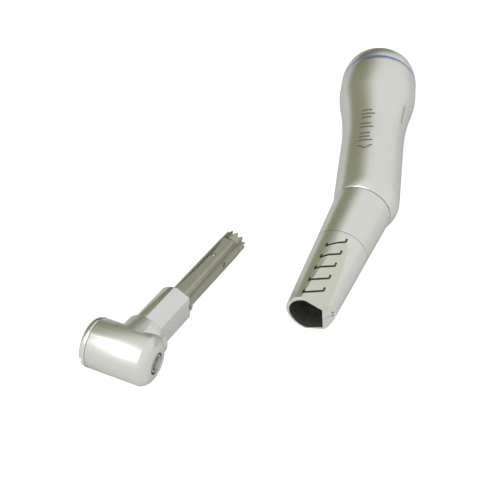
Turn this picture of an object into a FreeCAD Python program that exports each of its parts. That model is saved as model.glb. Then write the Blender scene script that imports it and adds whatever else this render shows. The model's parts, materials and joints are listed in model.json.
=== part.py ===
import FreeCAD, Part
import math
import os
import re
import Sketcher

# A dental contra-angle handpiece taken apart on the bench: the bent shank lies on its side and
# the snap-in push-button head lies beside it. Millimetres, +Z up, origin on the bench under the
# middle of the pair.
#
# Four local frames are used, each with Z along an axis of revolution:
#   handle: origin at the bend, Z to the rear end, X to the side that the bur points to
#   nose:   origin at the bend, Z to the open mouth, X to the same side
#   neck:   origin where the head's two axes cross, Z to the crown gear, X to the bur side
#   barrel: the same origin, Z out of the bur face

SIZES = {
    # lay on the bench
    "handle_yaw": -14.9, "head_yaw": 5.9, "head_offset_x": -28.7, "head_offset_y": -60.6,
    # shank: outline along the handle
    "bend_angle": 15.0, "grip_r": 7.6, "flare_start": 19.5, "flare_turn": 34.0, "wide_pos": 40.0,
    "wide_r": 9.8, "ring_pos": 44.0, "ring_r": 9.74, "ring_width": 0.5, "rear_pos": 49.1,
    "rear_r": 8.84, "rear_bulge": 14.0, "rear_recess": 0.5, "wall": 0.9, "seam_gap": 0.1,
    # shank: motor coupling
    "coupling_r": 7.6, "coupling_wall": 0.6, "coupling_start": 33.0, "coupling_floor": 2.0,
    "catch_pos": 36.2, "catch_width": 0.7, "catch_depth": 0.35, "catch_back": 0.0,
    # shank: nose outline
    "lip_pos": 3.2, "elbow_r": 6.8, "elbow_end": 16.9, "nose_r": 6.05, "mouth_pos": 36.45,
    "mouth_r": 5.06, "socket_start": 22.3, "core_r": 4.9, "rim_round": 0.2,
    "facet_turn": 72.0, "facet_mouth": 4.12, "facet_tilt": 5.9, "bevel_start": 3.3,
    "bevel_turn": 34.0, "bevel_reach": 3.6, "bevel_round": 0.9,
    "groove_count": 5, "groove_inset": 2.65, "groove_pitch": 3.34, "groove_long": 4.3,
    "groove_shift": 0.15, "groove_width": 0.42, "groove_depth": 0.25, "groove_slant": 35.0,
    "groove_hook": 0.75,
    # shank: inner works
    "core_start": 3.6, "drive_r": 1.5, "race_seat_r": 4.2, "rear_bearing_width": 3.0,
    "front_bearing_pos": 4.8, "back_bearing_pos": 27.4, "dog_pos": 29.6, "dog_length": 5.0,
    "dog_r": 2.6, "dog_bore": 1.55, "bend_gear_pos": -1.3, "bend_gear_length": 3.0,
    "rod_r": 0.4, "rod_x": 3.75, "rod_start": 5.0, "spray_r": 0.22, "spray_bore": 0.13,
    "spray_x": 4.62, "spray_y": 0.47, "spray_start_x": 3.9, "spray_start_y": 1.5,
    "spray_start": 12.2, "spray_inset": 1.95, "latch_turn": 16.0,
    "latch_r": 0.45, "latch_tip": 2.45, "latch_travel": 0.45, "latch_room": 0.15,
    "spring_wire": 0.5, "release_travel": 30.0,
    # head: barrel
    "barrel_r": 5.32, "barrel_tilt": 6.2, "face_pos": 6.19, "face_r": 3.0, "face_drop": 0.09,
    "face_round": 1.9, "face_bulge": 2.6, "seat_pos": 6.3, "seam_pos": 7.05, "barrel_bore": 4.0,
    "cap_seat_r": 4.85, "edge_break": 0.15,
    "cap_pos": 8.6, "cap_r": 4.8, "cap_round": 1.4, "cap_lip": 0.5, "cap_bore": 4.55,
    "button_r": 4.3, "button_pos": 9.45, "button_wall": 0.7, "button_rim": 8.65,
    "button_flange": 0.35, "button_travel": 0.8, "notch_width": 1.0, "notch_depth": 0.45,
    "gap_r": 2.32, "nut_r": 1.87, "nut_recess": 0.12, "spindle_r": 1.55, "chuck_r": 1.19,
    "entry_r": 1.5, "entry_depth": 1.0,
    "head_bearing_width": 1.6, "bur_bearing_pos": 4.3, "cap_bearing_pos": 4.2,
    "claw_start": 2.1, "claw_end": 3.6, "claw_r": 1.5, "claw_slit": 0.24,
    "plunger_r": 0.95, "plunger_head": 6.65,
    "plunger_disc": 0.35, "plunger_nose": 0.3, "claw_gap": 0.1,
    # head: neck
    "collar_r": 4.98, "collar_pos": 6.21, "collar_bore": 3.25, "pinion_seat_r": 3.0, "spigot_r": 3.6,
    "spigot_length": 0.6, "sleeve_r": 4.28, "sleeve_pos": 17.4, "sleeve_flat": 3.05,
    "cheek_turn": 66.0, "cheek_flat": 3.68, "sleeve_chamfer": 0.35, "tube_r": 2.74,
    "tube_past": 1.85, "tube_pos": "=mouth_pos + tube_past",
    "tube_bore": 2.2, "tube_flat": 2.5, "flange_r": 3.25, "flange_length": 0.8,
    "crown_past": 4.95, "crown_pos": "=mouth_pos + crown_past", "crown_gap": 0.12,
    "shaft_r": 1.2, "pinion_bearing_pos": 4.6,
    "bush_length": 3.0, "bush_front": 19.0, "bush_inset": 1.65,
    "bush_back": "=mouth_pos - bush_inset", "ball_r": 0.5, "ball_stand": 0.22,
    "ball_back": 4.45, "ball_pos": "=mouth_pos - ball_back", "washer_r": 3.2,
    "washer_width": 0.3, "coil_inset": 0.6,
    "button_coil_r": "=barrel_bore - coil_inset",
    "button_wire": 0.13, "chuck_coil_r": 1.3, "chuck_wire": 0.12, "pinion_front": 2.5, "pinion_hub": 1.8,
    "gear_hub": 2.4, "plunger_gap": 0.35, "boss_r": 1.2,
    # gears
    "bevel_teeth": 12, "bevel_outer": 4.05, "bevel_inner": 3.2, "bevel_addendum": 0.25,
    "bevel_dedendum": 0.45, "bevel_slot": 0.92, "bevel_slot_root": 0.5,
    "crown_teeth": 12, "crown_tooth": 1.25, "crown_wall": 1.0,
    # fits
    "running": 0.05, "sliding": 0.05,
    # bearings: shares of the land between bore and seat, and a ball's spacing in radii
    "ball_share": 0.24, "race_share": 0.18, "ball_spacing": 2.5, "ball_room": 0.03,
}

doc = FreeCAD.newDocument("contra_angle")
sheet = doc.addObject("Spreadsheet::Sheet", "Dims")
for row, (alias, size) in enumerate(SIZES.items(), start=1):
    sheet.set("A%d" % row, alias)
    sheet.set("B%d" % row, str(size))
    sheet.setAlias("B%d" % row, alias)
doc.recompute()

NODES = []  # (object, frame name) of each finished sub-part


def bound(text):
    """The expression with every size's name led back to the sheet."""
    return re.sub(r"[a-z_]\w*", lambda w: "Dims." + w[0] if w[0] in SIZES else w[0], text)


def value(text):
    """The number that an expression in the sheet's sizes gives now."""
    return float(sheet.evalExpression(bound(text)))


def node(obj, frame):
    """Name a finished object as a sub-part of one of the four frames."""
    NODES.append((obj, frame))
    return obj


def arc_between(start, end, radius, side):
    """An arc from start to end whose centre lies to the left (side 1) or right (side -1)."""
    chord = end - start
    mid = (start + end) * 0.5
    left = FreeCAD.Vector(-chord.y, chord.x, 0).normalize()
    centre = mid + left * (side * math.sqrt(radius ** 2 - (chord.Length / 2) ** 2))
    first, last = (start, end) if side > 0 else (end, start)
    angles = [math.atan2(p.y - centre.y, p.x - centre.x) for p in (first, last)]
    circle = Part.Circle(centre, FreeCAD.Vector(0, 0, 1), radius)
    return Part.ArcOfCircle(circle, angles[0], angles[1])


def section(body, name, outline, plane_role="XZ_Plane"):
    """A closed sketch through (x, y) corners, each held to its expressions in the sheet.

    A corner may add a radius expression and a side: the edge that leaves it is then an arc.
    """
    sketch = body.newObject("Sketcher::SketchObject", name)
    plane = next(f for f in body.Origin.OriginFeatures if f.Role == plane_role)
    sketch.AttachmentSupport = [(plane, "")]
    sketch.MapMode = "FlatFace"
    points = [FreeCAD.Vector(value(c[0]), value(c[1]), 0) for c in outline]
    heads = []
    for i, corner in enumerate(outline):
        start, end = points[i], points[(i + 1) % len(points)]
        if len(corner) == 4:
            sketch.addGeometry(arc_between(start, end, value(corner[2]), corner[3]), False)
            heads.append(1 if corner[3] > 0 else 2)
        else:
            sketch.addGeometry(Part.LineSegment(start, end), False)
            heads.append(1)
    for i, corner in enumerate(outline):
        before = i - 1 if i else len(outline) - 1
        sketch.addConstraint(Sketcher.Constraint("Coincident", before, 3 - heads[before], i, heads[i]))
        for kind, text, now in (("DistanceX", corner[0], points[i].x), ("DistanceY", corner[1], points[i].y)):
            index = sketch.addConstraint(Sketcher.Constraint(kind, -1, 1, i, heads[i], now))
            sketch.setExpression("Constraints[%d]" % index, bound(text))
        if len(corner) == 4:
            index = sketch.addConstraint(Sketcher.Constraint("Radius", i, value(corner[2])))
            sketch.setExpression("Constraints[%d]" % index, bound(corner[2]))
    return sketch


def turned(label, outline):
    """A turned piece: its half section, (radius, height) corners, swept round local Z."""
    body = doc.addObject("PartDesign::Body", label)
    sketch = section(body, label + "_section", outline)
    sweep = body.newObject("PartDesign::Revolution", label + "_sweep")
    sweep.Profile = sketch
    sweep.ReferenceAxis = (sketch, ["V_Axis"])
    sweep.Angle = 360
    body.Tip = sweep
    return body


def tube(label, outer, inner, low, high):
    """A plain turned tube, or a rod where inner is "0"."""
    return turned(label, [(inner, low), (outer, low), (outer, high), (inner, high)])


def block(label, size, corner, axis=(0, 0, 1), turn="0"):
    """A box of three bound lengths whose low corner and turn are bound as well."""
    box = doc.addObject("Part::Box", label)
    for name, text in zip(("Length", "Width", "Height"), size):
        box.setExpression(name, bound(text))
    box.Placement = FreeCAD.Placement(FreeCAD.Vector(*[value(c) for c in corner]),
                                      FreeCAD.Rotation(FreeCAD.Vector(*axis), value(turn)))
    for name, text in zip("xyz", corner):
        box.setExpression(".Placement.Base." + name, bound(text))
    return box


def drill(label, radius, length, start, towards):
    """A cylinder from a point along a direction, both in numbers worked out from the sheet."""
    pin = doc.addObject("Part::Cylinder", label)
    pin.setExpression("Radius", bound(radius))
    pin.setExpression("Height", bound(length))
    turn = FreeCAD.Rotation(FreeCAD.Vector(0, 0, 1), FreeCAD.Vector(*towards))
    pin.Placement = FreeCAD.Placement(FreeCAD.Vector(*start), turn)
    return pin


def carve(label, base, *tools):
    """The base less every tool."""
    cut = doc.addObject("Part::Cut", label)
    cut.Base = base
    cut.Tool = tools[0] if len(tools) == 1 else join(label + "_tools", *tools)
    return cut


def join(label, *pieces):
    """Several objects made one."""
    fuse = doc.addObject("Part::MultiFuse", label)
    fuse.Shapes = list(pieces)
    return fuse


def common(label, first, second):
    """What two objects share."""
    both = doc.addObject("Part::Common", label)
    both.Base = first
    both.Tool = second
    return both


def fixed_shape(label, shape):
    """A part whose shape is worked out in code from the sheet's sizes."""
    feature = doc.addObject("Part::Feature", label)
    feature.Shape = shape
    return feature


def polar_cut(body, name, outline, length, count, plane_role="XZ_Plane", first_turn=0.0):
    """Cut a sketched notch outwards from the axis and repeat it evenly round local Z."""
    sketch = section(body, name + "_outline", outline, plane_role)
    if first_turn:
        sketch.AttachmentOffset = FreeCAD.Placement(
            FreeCAD.Vector(), FreeCAD.Rotation(FreeCAD.Vector(0, 1, 0), first_turn))
    notch = body.newObject("PartDesign::Pocket", name)
    notch.Profile = sketch
    notch.Type = "Length"
    notch.Length = value(length)
    notch.setExpression("Length", bound(length))
    ring = body.newObject("PartDesign::PolarPattern", name + "_ring")
    ring.Originals = [notch]
    ring.Axis = (next(f for f in body.Origin.OriginFeatures if f.Role == "Z_Axis"), [""])
    ring.Angle = 360
    ring.Occurrences = int(value(count))
    body.Tip = ring
    return ring


def ball_bearing(prefix, frames, bore, seat, middle, width):
    """A deep-groove bearing: outer race, inner race and balls, centred at a height.

    frames holds the frame name; a ball is a little smaller than the space between the races.
    """
    land = "((%s) - (%s))" % (seat, bore)
    pitch = "((%s) + (%s)) / 2" % (seat, bore)
    ball = "%s * ball_share" % land
    low, high = "%s - %s / 2" % (middle, width), "%s + %s / 2" % (middle, width)
    races = []
    for name, outside, inside in (("outer", seat, "%s + %s * race_share" % (pitch, land)),
                                  ("inner", "%s - %s * race_share" % (pitch, land), bore)):
        groove = doc.addObject("Part::Torus", "%s_%s_groove" % (prefix, name))
        groove.setExpression("Radius1", bound(pitch))
        groove.setExpression("Radius2", bound(ball + " + ball_room"))
        groove.setExpression(".Placement.Base.z", bound(middle))
        blank = tube("%s_%s_blank" % (prefix, name), outside, inside, low, high)
        races.append(carve("%s_%s_race" % (prefix, name), blank, groove))
    pitch_r, ball_radius = value(pitch), value(ball)
    count = int(2 * math.pi * pitch_r / (value("ball_spacing") * ball_radius))
    balls = []
    for k in range(count):
        turn = 2 * math.pi * k / count
        centre = FreeCAD.Vector(pitch_r * math.cos(turn), pitch_r * math.sin(turn), value(middle))
        balls.append(Part.makeSphere(ball_radius, centre))
    set_of_balls = fixed_shape(prefix + "_balls", Part.makeCompound(balls))
    for part in (*races, set_of_balls):
        node(part, frames)


# ---------------------------------------------------------------- shank, handle frame
FLARE = "2 * atan((wide_r - grip_r) / (wide_pos - flare_start))"
FLARE_R = "(flare_turn - flare_start) / sin(%s)" % FLARE
CREST_R = "(wide_pos - flare_turn) / sin(%s)" % FLARE
TURN_R = "grip_r + (flare_turn - flare_start) * tan(%s / 2)" % FLARE
SLEEVE_BORE = "grip_r - wall"
COUPLING_OUT = "coupling_r + coupling_wall"
SPRAY_END = "(mouth_pos - spray_inset)"
LATCH_POS = "(mouth_pos + collar_pos - ball_pos)"  # where the pushed-in tube brings its recess


def nose_turn():
    """The rotation that leads the nose frame into the handle frame."""
    return (FreeCAD.Rotation(FreeCAD.Vector(0, 1, 0), 180 + value("bend_angle"))
            * FreeCAD.Rotation(FreeCAD.Vector(0, 0, 1), 180))


def from_nose(obj):
    """A nose-frame object, turned into the handle frame."""
    obj.Placement = FreeCAD.Placement(FreeCAD.Vector(), nose_turn()) * obj.Placement
    return obj


def handle_sleeve():
    """The grip: flared to the rear, ending in a ball-shaped shoulder at the bend."""
    grip = turned("grip_turned", [
        ("0", "0"), ("grip_r", "0"), ("grip_r", "flare_start", FLARE_R, -1),
        (TURN_R, "flare_turn", CREST_R, 1), ("wide_r", "wide_pos"), ("ring_r", "ring_pos"),
        ("0", "ring_pos")])
    shoulder = doc.addObject("Part::Sphere", "bend_ball")
    shoulder.setExpression("Radius", bound("grip_r"))
    inside = doc.addObject("Part::Sphere", "bend_hollow")
    inside.setExpression("Radius", bound(SLEEVE_BORE))
    bore = tube("grip_bore", SLEEVE_BORE, "0", "0", "coupling_start + wall")
    seat = tube("coupling_seat", COUPLING_OUT, "0", "coupling_start", "ring_pos + 1")
    beyond = from_nose(tube("lip_plane", "grip_r * 2", "0", "lip_pos", "lip_pos + grip_r * 2"))
    return carve("handle_sleeve", join("grip_outside", grip, shoulder), inside, bore, seat, beyond)


def ratio_ring():
    """The coloured ring that marks the gear ratio, let in between grip and rear collar."""
    return tube("ratio_ring", "ring_r", COUPLING_OUT, "ring_pos", "ring_pos + ring_width")


def rear_collar():
    """The rear end of the grip, rounded in to the rim."""
    return turned("rear_collar", [
        (COUPLING_OUT, "ring_pos + ring_width"),
        ("ring_r", "ring_pos + ring_width", "rear_bulge", 1), ("rear_r", "rear_pos"),
        ("%s + edge_break" % COUPLING_OUT, "rear_pos"), (COUPLING_OUT, "rear_pos - rear_recess")])


def coupling_tube():
    """The cup that the motor's nose enters, with a groove for its catch ring."""
    return turned("coupling_tube", [
        ("dog_r + running * 4", "coupling_start"), (COUPLING_OUT, "coupling_start"),
        (COUPLING_OUT, "rear_pos - rear_recess"), ("coupling_r", "rear_pos - rear_recess"),
        ("coupling_r", "catch_pos + catch_width"), ("coupling_r + catch_depth", "catch_pos + catch_width"),
        ("coupling_r + catch_depth", "catch_pos"), ("coupling_r", "catch_pos"),
        ("coupling_r", "coupling_start + coupling_floor"),
        ("dog_r + running * 4", "coupling_start + coupling_floor")])


def catch_ring():
    """The split spring ring that catches the motor's nose, lying back in its groove."""
    ring = tube("catch_ring_whole", "coupling_r + catch_depth - sliding", "coupling_r + catch_back",
                "catch_pos + sliding", "catch_pos + catch_width - sliding")
    gap = block("catch_ring_gap", ("coupling_r * 2", "catch_width", "catch_width * 2"),
                ("0", "-catch_width / 2", "catch_pos - catch_width / 2"))
    return carve("catch_ring", ring, gap)


def inner_core():
    """The bent chassis: it holds the rear drive's bearings and guides the head's tube."""
    seat_end = "back_bearing_pos + rear_bearing_width / 2"
    back = tube("core_back", SLEEVE_BORE, "0", "0", "coupling_start")
    ball = doc.addObject("Part::Sphere", "core_ball")
    ball.setExpression("Radius", bound(SLEEVE_BORE))
    front = tube("core_front_nose", "core_r", "0", "0", "socket_start")
    beyond = from_nose(carve("core_beyond_ring", tube(
        "core_beyond_all", "grip_r * 2", "0", "lip_pos - wall", "lip_pos + grip_r * 2"),
        tube("core_beyond_kept", "core_r", "0", "0", "lip_pos + grip_r * 3")))
    outside = carve("core_outside", join("core_solid", back, ball, from_nose(front)), beyond)
    gears = tube("core_gear_room", "race_seat_r - wall", "0", "0",
                 "front_bearing_pos - rear_bearing_width / 2 + wall")
    bearings = tube("core_race_seat", "race_seat_r", "0", "front_bearing_pos - rear_bearing_width / 2",
                    seat_end)
    dog_room = tube("core_dog_room", "dog_r + running * 8", "0", seat_end, "coupling_start + wall")
    guide = from_nose(tube("core_guide_nose", "tube_r + running", "0", "0",
                                         "socket_start + wall"))
    hollow = doc.addObject("Part::Sphere", "core_hollow")
    hollow.setExpression("Radius", bound("race_seat_r - wall"))
    lines = from_nose(join("core_lines_nose", rod_line("core_rod_hole", "sliding"),
                                         *spray_lines("core_spray_hole", "spray_r + sliding / 2")))
    latch = from_nose(latch_line("core_latch", "latch_r + sliding", "tube_r - wall",
                                                    "core_r + wall"))
    return carve("inner_core", outside, gears, bearings, dog_room, guide, hollow, lines, latch)


# ---------------------------------------------------------------- shank, nose frame
def rod_line(label, extra):
    """The light rod's straight line through core and nose."""
    return drill(label, "rod_r + " + extra, "mouth_pos - rod_start",
                 (value("rod_x"), 0, value("rod_start")), (0, 0, 1))


def spray_lines(label, radius):
    """The two spray lines, drawn together towards the mouth."""
    lines = []
    for side in (-1, 1):
        start = FreeCAD.Vector(value("spray_start_x"), side * value("spray_start_y"), value("spray_start"))
        end = FreeCAD.Vector(value("spray_x"), side * value("spray_y"), value(SPRAY_END))
        reach = "sqrt((spray_x - spray_start_x) ^ 2 + (spray_start_y - spray_y) ^ 2"
        reach += " + (%s - spray_start) ^ 2) + 1" % SPRAY_END
        name = "%s_%s" % (label, "air" if side < 0 else "water")
        lines.append(drill(name, radius, reach, start, end - start))
    return lines


def latch_line(label, radius, low, high):
    """A cylinder along the latch pin's axis, between two distances from the nose axis."""
    turn = math.radians(value("latch_turn"))
    out = FreeCAD.Vector(math.cos(turn), math.sin(turn), 0)
    start = out * value(low) + FreeCAD.Vector(0, 0, value(LATCH_POS))
    return drill(label, radius, "(%s) - (%s)" % (high, low), start, out)


def bevel_tool(label):
    """The slanting cut across the bur side of the mouth, with rounded side walls."""
    long, wide, deep = (value(n) for n in ("bevel_reach * 2", "bevel_reach * 2", "mouth_r"))
    box = Part.makeBox(deep, wide, long, FreeCAD.Vector(0, -wide / 2, -long / 2))
    edges = [e for e in box.Edges if abs(e.CenterOfMass.x) < 1e-6 and abs(e.tangentAt(0).z) > 0.9]
    box = box.makeFillet(value("bevel_round"), edges)
    tool = fixed_shape(label, box)
    tool.Placement = FreeCAD.Placement(
        FreeCAD.Vector(value("bevel_start"), 0, value("mouth_pos")),
        FreeCAD.Rotation(FreeCAD.Vector(0, 1, 0), -value("bevel_turn")))
    return tool


def facet_tool(label, side, deeper="0"):
    """The long flat milled along one cheek of the nose, deeper towards the mouth."""
    turn = FreeCAD.Rotation(FreeCAD.Vector(0, 0, 1), side * value("facet_turn"))
    tilt = FreeCAD.Rotation(FreeCAD.Vector(0, 1, 0), -value("facet_tilt"))
    box = block(label, ("mouth_r", "mouth_r * 4", "mouth_pos * 2"), ("0", "0", "0"))
    for name in "xyz":
        box.setExpression(".Placement.Base." + name, None)
    corner = FreeCAD.Vector(0, -2 * value("mouth_r"), -value("mouth_pos"))
    local = FreeCAD.Placement(corner, FreeCAD.Rotation())
    out = turn.multVec(FreeCAD.Vector(value("facet_mouth - " + deeper), 0, 0))
    out += FreeCAD.Vector(0, 0, value("mouth_pos"))
    box.Placement = FreeCAD.Placement(out, turn * tilt) * local
    return box


def finger_grooves():
    """Bracket-shaped finger grooves of even depth: slanting bars, both ends hooked to the rear."""
    wide, long, hook, pitch, side_shift = (
        value("groove_" + n) for n in ("width", "long", "hook", "pitch", "shift"))
    first = value("mouth_pos - groove_inset")
    slant = math.radians(value("groove_slant"))
    reach = FreeCAD.Vector(math.cos(slant), 0, -math.sin(slant)) * (long / 2)
    cutters = []
    for side in (-1, 1):
        out = FreeCAD.Vector(0, side * value("nose_r"), 0)
        for k in range(int(value("groove_count"))):
            middle = FreeCAD.Vector(side_shift, side, first - k * pitch)
            ends = [middle - reach, middle + reach]
            hooks = [end - FreeCAD.Vector(0, 0, hook) for end in ends]
            stroke = [hooks[0], ends[0], ends[1], hooks[1]]
            pieces = [Part.makeCylinder(wide / 2, out.Length, point, out) for point in stroke]
            for a, b in zip(stroke, stroke[1:]):
                across = out.cross(b - a).normalize() * (wide / 2)
                corners = [a + across, b + across, b - across, a - across]
                pieces.append(Part.Face(Part.makePolygon(corners + corners[:1])).extrude(out))
            cutters.append(pieces[0].multiFuse(pieces[1:]))
    strokes = fixed_shape("groove_strokes", Part.makeCompound(cutters))
    floor = carve("groove_floor", turned("groove_floor_cone", [
        ("0", "elbow_end"), ("nose_r - groove_depth", "elbow_end"), ("mouth_r - groove_depth", "mouth_pos"),
        ("0", "mouth_pos")]),
        facet_tool("floor_facet_up", 1, "groove_depth"), facet_tool("floor_facet_down", -1, "groove_depth"))
    return carve("finger_grooves", strokes, floor)


def flatted_tool(label, radius, flat, cheek, low, high):
    """A round bar with one flat to the bur side and a slanting flat on each cheek."""
    bar = tube(label + "_bar", radius, "0", low, high)
    flats = [block(label + "_flat_0", ("barrel_r", "barrel_r * 4", "mouth_pos * 2"),
                   (flat, "-barrel_r * 2", "-mouth_pos / 2"))]
    for side in (-1, 1):
        turn = FreeCAD.Rotation(FreeCAD.Vector(0, 0, 1), side * value("cheek_turn"))
        box = block("%s_flat_%d" % (label, side + 2), ("barrel_r", "barrel_r * 4", "mouth_pos * 2"),
                    ("0", "0", "0"))
        for name in "xyz":
            box.setExpression(".Placement.Base." + name, None)
        local = FreeCAD.Vector(value(cheek), -2 * value("barrel_r"), -value("mouth_pos") / 2)
        box.Placement = FreeCAD.Placement(turn.multVec(local), turn)
        flats.append(box)
    return carve(label, bar, *flats)


def nose_sleeve():
    """The nose: a cone with grooved cheeks, a flatted socket and the bevel with its spray holes."""
    cone = turned("nose_cone", [
        ("core_r", "elbow_end + seam_gap"), ("nose_r", "elbow_end + seam_gap"),
        ("mouth_r + rim_round * 0.05", "mouth_pos - rim_round"), ("mouth_r - rim_round", "mouth_pos"),
        ("0", "mouth_pos"), ("0", "socket_start"), ("core_r", "socket_start")])
    socket = flatted_tool("socket_tool", "sleeve_r + running",
                          "sleeve_flat + running", "cheek_flat + running",
                          "socket_start - wall", "mouth_pos + wall")
    return carve("nose_sleeve", cone, socket, facet_tool("facet_up", 1), facet_tool("facet_down", -1),
                 finger_grooves(), bevel_tool("mouth_bevel"), rod_line("nose_rod_hole", "sliding / 2"),
                 *spray_lines("nose_spray_hole", "spray_r + sliding / 2"))


def light_rod():
    """The glass rod that carries light along the nose to the bevel."""
    return carve("light_rod", rod_line("light_rod_whole", "0"), bevel_tool("rod_bevel"))


def spray_tubes():
    """The air and water tubes, cut off flush with the bevel."""
    pipes = spray_lines("spray_pipe", "spray_r")
    bores = spray_lines("spray_bore", "spray_bore")
    return [carve("spray_%s_tube" % name, pipe, bore, bevel_tool("bevel_" + name))
            for name, pipe, bore in zip(("air", "water"), pipes, bores)]


def release_ring():
    """The turning ring behind the nose, hollowed for the latch pin and its return spring."""
    room = "(latch_r + latch_room)"
    reach = "core_r + running + latch_travel + latch_room"
    low, high = "lip_pos + seam_gap", "elbow_end"
    return turned("release_ring", [
        ("core_r + running", "lip_pos + seam_gap + wall + spring_wire"),
        ("elbow_r - wall", "lip_pos + seam_gap + wall + spring_wire"),
        ("elbow_r - wall", low), ("elbow_r", low), ("nose_r", high), ("core_r + running", high),
        ("core_r + running", LATCH_POS + " + " + room), (reach, LATCH_POS + " + " + room),
        (reach, LATCH_POS + " - " + room), ("core_r + running", LATCH_POS + " - " + room)])


def release_spring():
    """The flat return spring in the back of the release ring."""
    return tube("release_spring", "elbow_r - wall - sliding * 2", "core_r + sliding * 3",
                "lip_pos + wall - spring_wire / 2", "lip_pos + wall + spring_wire / 2")


def latch_pin():
    """The pin that locks the head's tube, under the release ring."""
    return latch_line("latch_pin", "latch_r", "latch_tip", "core_r + running + latch_room / 2")


# ---------------------------------------------------------------- shank, rear drive
def rear_drive_shaft():
    """The shaft that carries the motor's turning to the bend."""
    return tube("rear_drive_shaft", "drive_r", "0",
                "bend_gear_pos + crown_tooth", "dog_pos + dog_length * 0.4")


def crown(label, pos, length, outer, bore, frame_up):
    """A crown gear with pointed teeth cut in its end face, pointing along local +Z or -Z."""
    tip, root = pos, "%s - %s * crown_tooth" % (pos, frame_up)
    back = "%s - %s * (%s)" % (pos, frame_up, length)
    corners = [(bore, back), (outer, back), (outer, tip), ("%s - crown_wall" % outer, tip),
               ("%s - crown_wall" % outer, root), (bore, root)]
    gear = turned(label, corners)
    half = "%s * tan(180 / crown_teeth)" % outer
    polar_cut(gear, label + "_space", [("0", root), (half, "%s + %s * sliding" % (tip, frame_up)),
                                       ("-%s" % half, "%s + %s * sliding" % (tip, frame_up))],
              "%s + wall" % outer, "crown_teeth")
    return gear


def drive_dog():
    """The slotted claw that the motor's own claw drives."""
    dog = turned("drive_dog", [
        ("drive_r", "dog_pos"), ("dog_r", "dog_pos"), ("dog_r", "dog_pos + dog_length"),
        ("dog_bore", "dog_pos + dog_length"), ("dog_bore", "dog_pos + dog_length * 0.4"),
        ("drive_r", "dog_pos + dog_length * 0.4")])
    polar_cut(dog, "dog_slot", [("-dog_r / 3", "dog_pos + dog_length * 0.55"),
                                ("dog_r / 3", "dog_pos + dog_length * 0.55"),
                                ("dog_r / 3", "dog_pos + dog_length + wall"),
                                ("-dog_r / 3", "dog_pos + dog_length + wall")], "dog_r + wall", "3")
    return dog


# ---------------------------------------------------------------- head, neck and barrel frames
def barrel_turn():
    """The rotation that leads the barrel frame into the neck frame."""
    return FreeCAD.Rotation(FreeCAD.Vector(0, 1, 0), 90 - value("barrel_tilt"))


def from_barrel(obj):
    """A barrel-frame object, turned into the neck frame."""
    obj.Placement = FreeCAD.Placement(FreeCAD.Vector(), barrel_turn()) * obj.Placement
    return obj


def head_housing():
    """The barrel and its collar, bored for the spindle's bearings and the pinion's."""
    barrel = turned("barrel_turned", [
        ("0", "-seam_pos"), ("barrel_r", "-seam_pos"),
        ("barrel_r", "face_pos - face_drop - face_round", "face_bulge", 1),
        ("face_r", "face_pos - face_drop"), ("gap_r + wall / 2", "face_pos"), ("0", "face_pos")])
    collar = tube("collar_turned", "collar_r", "0", "0", "collar_pos")
    bearing_top = "bur_bearing_pos + head_bearing_width / 2"
    bore = from_barrel(join(
        "barrel_bores_own", tube("barrel_main_bore", "barrel_bore", "0", "-seam_pos - wall", bearing_top),
        tube("barrel_gap_bore", "gap_r", "0", "0", "face_pos + wall"),
        tube("barrel_cap_seat", "cap_seat_r", "0", "-seam_pos - wall", "-seat_pos")))
    neck = join("collar_bores",
                tube("collar_pinion_bore", "collar_bore", "0",
                     "0", "pinion_bearing_pos - head_bearing_width / 2"),
                tube("collar_main_bore", "pinion_seat_r", "0", "0", "collar_pos"),
                tube("collar_spigot_bore", "spigot_r", "0",
                     "collar_pos - spigot_length", "collar_pos + wall"))
    return carve("head_housing", join("head_outside", from_barrel(barrel), collar), bore, neck)


def neck_sleeve():
    """The flatted neck that fills the nose's socket, with a spigot in the collar."""
    body = flatted_tool("neck_sleeve_bar", "sleeve_r", "sleeve_flat", "cheek_flat", "collar_pos",
                        "sleeve_pos")
    tip = turned("neck_sleeve_envelope", [
        ("0", "collar_pos - wall"), ("sleeve_r + wall", "collar_pos - wall"),
        ("sleeve_r + wall", "sleeve_pos - sleeve_chamfer - wall"),
        ("sleeve_r - sleeve_chamfer", "sleeve_pos"), ("0", "sleeve_pos")])
    spigot = tube("neck_spigot", "spigot_r", "0", "collar_pos - spigot_length", "collar_pos")
    hollow = tube("neck_sleeve_bore", "tube_r", "0", "collar_pos - spigot_length - wall", "sleeve_pos + wall")
    return carve("neck_sleeve", join("neck_sleeve_solid", common("neck_sleeve_ended", body, tip), spigot),
                 hollow)


def shaft_tube():
    """The long tube round the drive shaft, with a milled flat, a flange and the latch's recess."""
    start = "collar_pos - spigot_length"
    pipe = turned("shaft_tube_turned", [
        ("tube_bore", start), ("tube_r", start), ("tube_r", "sleeve_pos"), ("flange_r", "sleeve_pos"),
        ("flange_r", "sleeve_pos + flange_length"), ("tube_r", "sleeve_pos + flange_length"),
        ("tube_r", "tube_pos"), ("tube_bore", "tube_pos")])
    flat = block("shaft_tube_flat", ("tube_r * 4", "tube_r", "tube_pos"),
                 ("-tube_r * 2", "-tube_flat - tube_r", "sleeve_pos"))
    turn = -math.radians(value("latch_turn"))
    out = FreeCAD.Vector(math.cos(turn), math.sin(turn), 0)
    recess = drill("latch_recess", "latch_r + sliding * 2", "wall * 3",
                   out * value("latch_tip - sliding") + FreeCAD.Vector(0, 0, value("ball_pos")), out)
    start = (0, -value("tube_bore + running"), value("ball_pos"))
    seat = drill("ball_seat", "ball_r", "tube_r", start, (0, -1, 0))
    return carve("shaft_tube", pipe, flat, recess, seat)


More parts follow.
